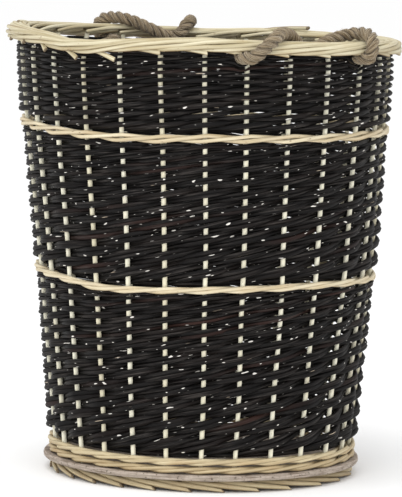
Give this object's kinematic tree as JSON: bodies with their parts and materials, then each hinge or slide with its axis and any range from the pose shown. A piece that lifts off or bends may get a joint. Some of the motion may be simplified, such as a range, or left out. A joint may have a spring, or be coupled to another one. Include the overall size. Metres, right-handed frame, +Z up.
{
  "type": "wicker log basket",
  "caption": "Tall round tapered log basket woven from dark willow over pale stakes, with a pale rod rim, pale woven bands, a board base and rope handles",
  "frame": {"origin": "on the floor, on the basket's axis, in the middle of the foot border's underside", "axes": "+Z up along the basket's axis; -Y towards the front; +X to the right as seen from the front"},
  "size_m": [0.446, 0.4687, 0.5152],
  "materials": {
    "peeled_willow": "satin peeled willow rod, cream with tan streaks",
    "dark_willow": "satin dark brown, almost black, willow with its bark on",
    "plywood": "matte grey-brown plywood with a rough sawn edge",
    "jute_rope": "matte hairy three-strand rope, taupe brown"
  },
  "bodies": {
    "root": {"foot_border": "peeled_willow", "base_board": "plywood", "stake_01": "peeled_willow", "stake_02": "peeled_willow", "stake_03": "peeled_willow", "stake_04": "peeled_willow", "stake_05": "peeled_willow", "stake_06": "peeled_willow", "stake_07": "peeled_willow", "stake_08": "peeled_willow", "stake_09": "peeled_willow", "stake_10": "peeled_willow", "stake_11": "peeled_willow", "stake_12": "peeled_willow", "stake_13": "peeled_willow", "stake_14": "peeled_willow", "stake_15": "peeled_willow", "stake_16": "peeled_willow", "stake_17": "peeled_willow", "stake_18": "peeled_willow", "stake_19": "peeled_willow", "stake_20": "peeled_willow", "stake_21": "peeled_willow", "stake_22": "peeled_willow", "stake_23": "peeled_willow", "stake_24": "peeled_willow", "stake_25": "peeled_willow", "stake_26": "peeled_willow", "base_wale": "peeled_willow", "lower_weave": "dark_willow", "lower_band": "peeled_willow", "middle_weave": "dark_willow", "upper_band": "peeled_willow", "upper_weave": "dark_willow", "rim_border": "peeled_willow", "front_handle_left_end": "jute_rope", "front_handle_right_end": "jute_rope", "rear_handle_left_end": "jute_rope", "rear_handle_right_end": "jute_rope"},
    "front_handle": {"front_handle_grip": "jute_rope"},
    "rear_handle": {"rear_handle_grip": "jute_rope"}
  },
  "joints": [
    {"name": "front_handle_swing", "type": "hinge", "parent": "root", "child": "front_handle", "pos_m": [0.12588, -0.14369, 0.5057], "axis": [0.7568, 0.6536, 0.0115], "range_deg": [0, 170]},
    {"name": "rear_handle_swing", "type": "hinge", "parent": "root", "child": "rear_handle", "pos_m": [-0.0555, 0.18483, 0.5058], "axis": [-0.9593, -0.2823, 0.0055], "range_deg": [0, 170]}
  ]
}
